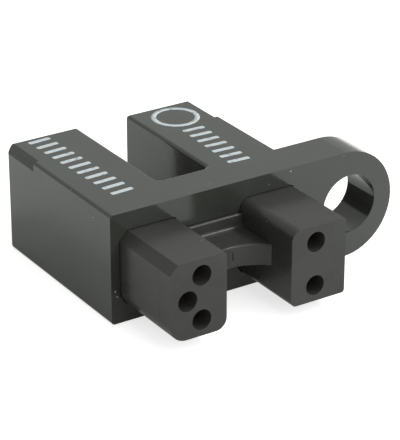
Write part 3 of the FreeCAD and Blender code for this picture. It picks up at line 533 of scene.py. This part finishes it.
def studio_paper(look):
    """Smooth pale paper, lifted to white for the camera.

    In reflections it glows with painted light: a painted shade, an oval dark beside the sensor's
    left rear corner as if the sensor shaded it, and a painted glow further out."""
    material, tree, output = new_material("pale_studio_paper")
    coords = add_node(tree, "ShaderNodeTexCoord", (-900, 0)).outputs["Object"]
    fibre = add_node(tree, "ShaderNodeTexNoise", (-700, 0), Vector=coords, Scale=per_mm(1.5),
                     Detail=4.0).outputs[0]
    base = linear(look.floor_colour)
    tone = add_node(tree, "ShaderNodeValToRGB", (-450, 0), Fac=fibre)
    tone.color_ramp.elements[0].color = tuple(c * 0.985 for c in base[:3]) + (1.0,)
    tone.color_ramp.elements[1].color = base
    matt = add_node(tree, "ShaderNodeBsdfDiffuse", (-100, 0), Color=tone.outputs["Color"])
    rays = add_node(tree, "ShaderNodeLightPath", (-650, -300))
    # The painted shade is an oval around this place, 20 mm to its end along X and longer along Y:
    # inside it the paper glows less in reflections.
    shade_x, shade_y, shade_reach, shade_flat = -17 * MM, 1.8 * MM, 20 * MM, 0.55
    shade_edge = 1.7
    flat = add_node(tree, "ShaderNodeMapping", (-850, -600), {"vector_type": "POINT"},
                    Vector=coords, Location=(-shade_x, -shade_flat * shade_y, -HOUSING_LOW.z),
                    Scale=(1.0, shade_flat, 1.0))
    across = add_node(tree, "ShaderNodeVectorMath", (-650, -600), {"operation": "LENGTH"})
    tree.links.new(flat.outputs[0], across.inputs[0])
    share = add_node(tree, "ShaderNodeMapRange", (-850, -800), Value=across.outputs["Value"],
                     From_Min=0.0, From_Max=shade_reach)
    curve = add_node(tree, "ShaderNodeMath", (-650, -800), {"operation": "POWER"})
    tree.links.new(share.outputs[0], curve.inputs[0])
    curve.inputs[1].default_value = shade_edge
    # Painted reflection: the paper's glow for glossy rays, from the painted shade near the sensor
    # to the open sheen further out.
    painted_sheen_and_shade = add_node(tree, "ShaderNodeMapRange", (-450, -700), Value=curve.outputs[0],
                     To_Min=look.shaded_sheen, To_Max=look.open_sheen)
    mirrored = add_node(tree, "ShaderNodeMath", (-250, -500), {"operation": "MULTIPLY"})
    tree.links.new(rays.outputs["Is Glossy Ray"], mirrored.inputs[0])
    tree.links.new(painted_sheen_and_shade.outputs[0], mirrored.inputs[1])
    gloss = add_node(tree, "ShaderNodeEmission", (-50, -500), Color=linear(look.light_tint),
                     Strength=mirrored.outputs[0])
    lift = add_node(tree, "ShaderNodeMath", (-250, -300), {"operation": "MULTIPLY"})
    tree.links.new(rays.outputs["Is Camera Ray"], lift.inputs[0])
    lift.inputs[1].default_value = look.paper_glow
    glow = add_node(tree, "ShaderNodeEmission", (-50, -300), Color=(1, 1, 1, 1),
                    Strength=lift.outputs[0])
    lights = add_node(tree, "ShaderNodeAddShader", (200, -300))
    tree.links.new(glow.outputs[0], lights.inputs[0])
    tree.links.new(gloss.outputs[0], lights.inputs[1])
    both = add_node(tree, "ShaderNodeAddShader", (400, 0))
    tree.links.new(matt.outputs[0], both.inputs[0])
    tree.links.new(lights.outputs[0], both.inputs[1])
    tree.links.new(both.outputs[0], output.inputs["Surface"])
    return material


class FORK_OT_mouldings(bpy.types.Operator):
    """Gives the housing and the socket carrier their moulded black plastics"""
    bl_idname = "fork.mouldings"
    bl_label = "Finish the mouldings"

    def execute(self, context):
        look = context.scene.fork_housing
        # Black polycarbonate from a polished mould: grey sheen on every face, clear highlights.
        dress(["housing"], moulded_plastic(
            "polished_black_polycarbonate", look.housing_colour, look.housing_roughness,
            specular=0.5, clouding=0.10, grain_mm=0.09))
        # Glass-filled polyester from a finely grained mould: darker, drier and more even.
        dress(["socket_carrier"], moulded_plastic(
            "satin_black_polyester", look.carrier_colour, look.carrier_roughness,
            specular=0.26, clouding=0.14, grain_mm=0.06))
        return {"FINISHED"}


class FORK_OT_optics(bpy.types.Operator):
    """Gives the two optical packages and the slit plate their finishes"""
    bl_idname = "fork.optics"
    bl_label = "Finish the optics"

    def execute(self, context):
        # Epoxy with a daylight filter: near black, with a violet depth.
        dress(["detector_package"], cast_epoxy("daylight_filter_epoxy", "#241a22", passes=0.3))
        # Epoxy with a blue tint: clear like glass.
        dress(["emitter_package"], cast_epoxy("blue_tinted_epoxy", "#8fa6c9", passes=0.85))
        # Rolled brass, chemically blackened: dull, dark brown, with fine rolling lines.
        dress(["detector_slit_plate"], metal(
            "blackened_brass_sheet", "#3c3a38", roughness=0.45, line_mm=0.05, dull_hex="#2a2826"))
        return {"FINISHED"}


class FORK_OT_contacts(bpy.types.Operator):
    """Gives the leads, sleeves and clips their metals"""
    bl_idname = "fork.contacts"
    bl_label = "Finish the contacts"

    def execute(self, context):
        look = context.scene.fork_metal
        # Copper strip dipped in tin: white metal with a soft haze.
        dress([f"{name}_lead" for name in CONTACT_NAMES],
              metal("bright_tinned_copper", look.lead_colour,
                    roughness=0.28, line_mm=0.4, dull_hex="#a9a9a4"))
        # Brass turned on a lathe: pale yellow with close tool lines.
        dress([f"{name}_sleeve" for name in CONTACT_NAMES],
              metal("turned_brass", look.sleeve_colour,
                    roughness=0.3, line_mm=0.03, dull_hex="#8d7442"))
        # Bronze strip under thin gold: the warmest and brightest of the metals.
        dress([f"{name}_clip" for name in CONTACT_NAMES],
              metal("gold_plated_spring_bronze", look.clip_colour,
                    roughness=0.22, line_mm=0.05, dull_hex="#b08d50"))
        return {"FINISHED"}


class FORK_OT_print(bpy.types.Operator):
    """Prints the two generic rows of bars and the ring on the prongs' tops"""
    bl_idname = "fork.print"
    bl_label = "Print the marks"

    def execute(self, context):
        look = context.scene.fork_print
        ink = pad_printing_ink(look.ink_colour)
        top = HOUSING_HIGH.z
        left = HOUSING_LOW.x
        turn = Matrix.Rotation(look.turn, 4, "Z")
        turn_back = Matrix.Rotation(-look.turn, 4, "Z")
        # Each row's first bar and the ring's middle, from the housing's left side and rear face.
        long_x, long_y = left + 2.14 * MM, 2.35 * MM
        short_x, short_y = left + 9.55 * MM, 2.4 * MM
        ring_x, ring_y = left + 9.88 * MM, 9.35 * MM
        common = {"Line": look.line, "Film": look.film, "Ink": ink}
        row = dict(common, Pitch=look.pitch, **{"Bar length": look.bar_long})
        rows = bar_row_tree()
        piece = run_tree(rows, "detector_scale_print", dict(row, Bars=look.bars),
                         Matrix.Translation((long_x, long_y, top)) @ turn)
        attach(piece, BODY)
        piece = run_tree(rows, "emitter_scale_print", dict(row, Bars=look.short_bars),
                         Matrix.Translation((short_x, short_y, top)) @ turn_back)
        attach(piece, BODY)
        piece = run_tree(ring_tree(), "emitter_ring_print", dict(common, Radius=look.ring_radius),
                         Matrix.Translation((ring_x, ring_y, top + look.film / 2)))
        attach(piece, BODY)
        return {"FINISHED"}


class FORK_OT_marks(bpy.types.Operator):
    """Lays the flecks of dust, the pale flecks that paint glints on the left rear corner edge and
    the dark fleck on the web
    """
    bl_idname = "fork.marks"
    bl_label = "Lay the small marks"

    def execute(self, context):
        look = context.scene.fork_marks
        pale = matt_fleck_finish("pale_dust_and_painted_glint", look.pale_colour)
        dark = matt_fleck_finish("dark_web_fleck", look.dark_colour)
        left, top = HOUSING_LOW.x, HOUSING_HIGH.z
        rear = (0, -1, 0)
        side = (-1, 0, 0)
        # Each row: name, place from the left rear upper edge in mm, the face's normal, radius in
        # mm, height over width, material.
        for index, (name, place, normal, radius, tall, stuff) in enumerate((
                ("ear_dust_fleck", (11.36, 0.0, -0.22), rear, 0.07, 1.0, pale),
                # Painted highlight: two pale flecks on the left rear corner edge stand in for a
                # glint there.
                ("painted_corner_glint_upper", (0.03, 0.03, -3.5), (-1, -1, 0), 0.05, 2.5, pale),
                ("painted_corner_glint_lower", (0.03, 0.03, -3.8), (-1, -1, 0), 0.05, 3.0, pale),
                ("flange_dust_left", (0.24, 0.0, -4.42), rear, 0.06, 1.3, pale),
                ("flange_dust_right", (0.36, 0.0, -4.76), rear, 0.06, 1.0, pale),
                ("side_fleck_far", (0.0, 6.75, -0.55), side, 0.04, 1.0, pale),
                ("side_fleck_near", (0.0, 1.74, -0.75), side, 0.06, 1.0, pale),
                ("slot_fleck", (7.65, 6.8, -2.17), side, 0.05, 1.0, pale),
                ("top_fleck", (6.5, 0.6, 0.0), (0, 0, 1), 0.04, 1.0, pale),
                # A dark fleck on the web's rear face, by the left block.
                ("web_dark_fleck", (6.24, -2.08, -3.14), (-0.07, -1.00, 0.0), 0.09, 4.0, dark))):
            centre = (left + place[0] * MM, place[1] * MM, top + place[2] * MM)
            fleck(name, centre, normal, radius * MM, tall, index + 1, stuff)
        return {"FINISHED"}


class FORK_OT_studio(bpy.types.Operator):
    """Builds the floor, the lamps, the surroundings and the camera"""
    bl_idname = "fork.studio"
    bl_label = "Build the studio"

    def execute(self, context):
        scene = context.scene
        look = scene.fork_studio
        scene.view_settings.view_transform = "Standard"

        # A wide sheet of pale paper, just clear of the sensor's underside.
        sheet_reach = 0.6
        clearance = 0.004 * MM
        builder = bmesh.new()
        bmesh.ops.create_grid(builder, x_segments=8, y_segments=8, size=sheet_reach)
        mesh = bpy.data.meshes.new("studio_floor")
        builder.to_mesh(mesh)
        builder.free()
        mesh.transform(Matrix.Translation((0, 0, HOUSING_LOW.z - clearance)))
        floor = bpy.data.objects.new("studio_floor", mesh)
        scene.collection.objects.link(floor)
        mesh.materials.append(studio_paper(look))

        world = bpy.data.worlds.new("soft_studio")
        scene.world = world
        world.use_nodes = True
        tree = world.node_tree
        tree.nodes.clear()
        output = add_node(tree, "ShaderNodeOutputWorld", (600, 0))
        rays = add_node(tree, "ShaderNodeLightPath", (-600, 0))
        # Reflections and light through clear pieces see one strength, matt surfaces another, and
        # the camera sees white.
        sharp = add_node(tree, "ShaderNodeMath", (-200, 0), {"operation": "MAXIMUM"})
        tree.links.new(rays.outputs["Is Glossy Ray"], sharp.inputs[0])
        tree.links.new(rays.outputs["Is Transmission Ray"], sharp.inputs[1])
        mirrored = add_node(tree, "ShaderNodeMapRange", (0, 200), Value=sharp.outputs[0],
                            To_Min=look.sky_strength, To_Max=look.mirrored_strength).outputs[0]
        strength = add_node(tree, "ShaderNodeMix", (200, 0), {"data_type": "FLOAT"})
        tree.links.new(rays.outputs["Is Camera Ray"], strength.inputs[0])
        tree.links.new(mirrored, strength.inputs[2])
        strength.inputs[3].default_value = 1.0
        hue = add_node(tree, "ShaderNodeMix", (200, 300), {"data_type": "RGBA"})
        tree.links.new(rays.outputs["Is Camera Ray"], hue.inputs[0])
        hue.inputs[6].default_value = linear(look.light_tint)
        hue.inputs[7].default_value = (1, 1, 1, 1)
        sky = add_node(tree, "ShaderNodeBackground", (400, 0), Color=hue.outputs[2],
                       Strength=strength.outputs[0])
        tree.links.new(sky.outputs[0], output.inputs["Surface"])

        tint = linear(look.light_tint)[:3]
        soft_lamp("front_lamp", Vector((0.2, -0.8, 0.57)), distance=0.35, size=0.3,
                  radiance=look.front_strength, colour=tint)
        soft_lamp("key_lamp", Vector((0.49, -0.43, 0.76)), distance=0.4, size=0.11,
                  radiance=look.key_strength, colour=tint)

        camera_data = bpy.data.cameras.new("camera")
        camera_data.sensor_width = 36
        camera_data.lens = look.lens
        camera_data.clip_start = 1 * MM
        camera_data.clip_end = 10
        camera = bpy.data.objects.new("camera", camera_data)
        scene.collection.objects.link(camera)
        az, el = look.azimuth, look.elevation
        back = Vector((math.sin(az) * math.cos(el), -math.cos(az) * math.cos(el), math.sin(el)))
        camera.rotation_mode = "QUATERNION"
        camera.location = look.camera_place
        camera.rotation_quaternion = (-back).to_track_quat("-Z", "Y")
        scene.camera = camera
        return {"FINISHED"}


class FORK_PT_panel(bpy.types.Panel):
    """Lists the steps and their settings"""
    bl_label = "Fork Sensor"
    bl_idname = "FORK_PT_panel"
    bl_space_type = "VIEW_3D"
    bl_region_type = "UI"
    bl_category = "Fork Sensor"

    def draw(self, context):
        for operator, settings in STEPS:
            box = self.layout.box()
            if settings:
                group = getattr(context.scene, settings)
                for name in group.bl_rna.properties.keys():
                    if name not in {"rna_type", "name"}:
                        box.prop(group, name)
            box.operator(operator.bl_idname)


STEPS = (
    (FORK_OT_mouldings, "fork_housing"),
    (FORK_OT_optics, None),
    (FORK_OT_contacts, "fork_metal"),
    (FORK_OT_print, "fork_print"),
    (FORK_OT_marks, "fork_marks"),
    (FORK_OT_studio, "fork_studio"),
)
GROUPS = (
    ("fork_housing", HousingFinish),
    ("fork_metal", MetalFinish),
    ("fork_print", PrintFinish),
    ("fork_marks", MarkFinish),
    ("fork_studio", StudioLook),
)
CLASSES = tuple(group for _, group in GROUPS) + tuple(step for step, _ in STEPS) + (FORK_PT_panel,)


def register():
    for item in CLASSES:
        bpy.utils.register_class(item)
    for name, group in GROUPS:
        setattr(bpy.types.Scene, name, bpy.props.PointerProperty(type=group))


def unregister():
    for name, _ in GROUPS:
        delattr(bpy.types.Scene, name)
    for item in reversed(CLASSES):
        bpy.utils.unregister_class(item)


def main():
    """Registers the add-on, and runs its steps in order."""
    register()
    for step, _ in STEPS:
        group, name = step.bl_idname.split(".")
        getattr(getattr(bpy.ops, group), name)()


if __name__ == "__main__":
    main()
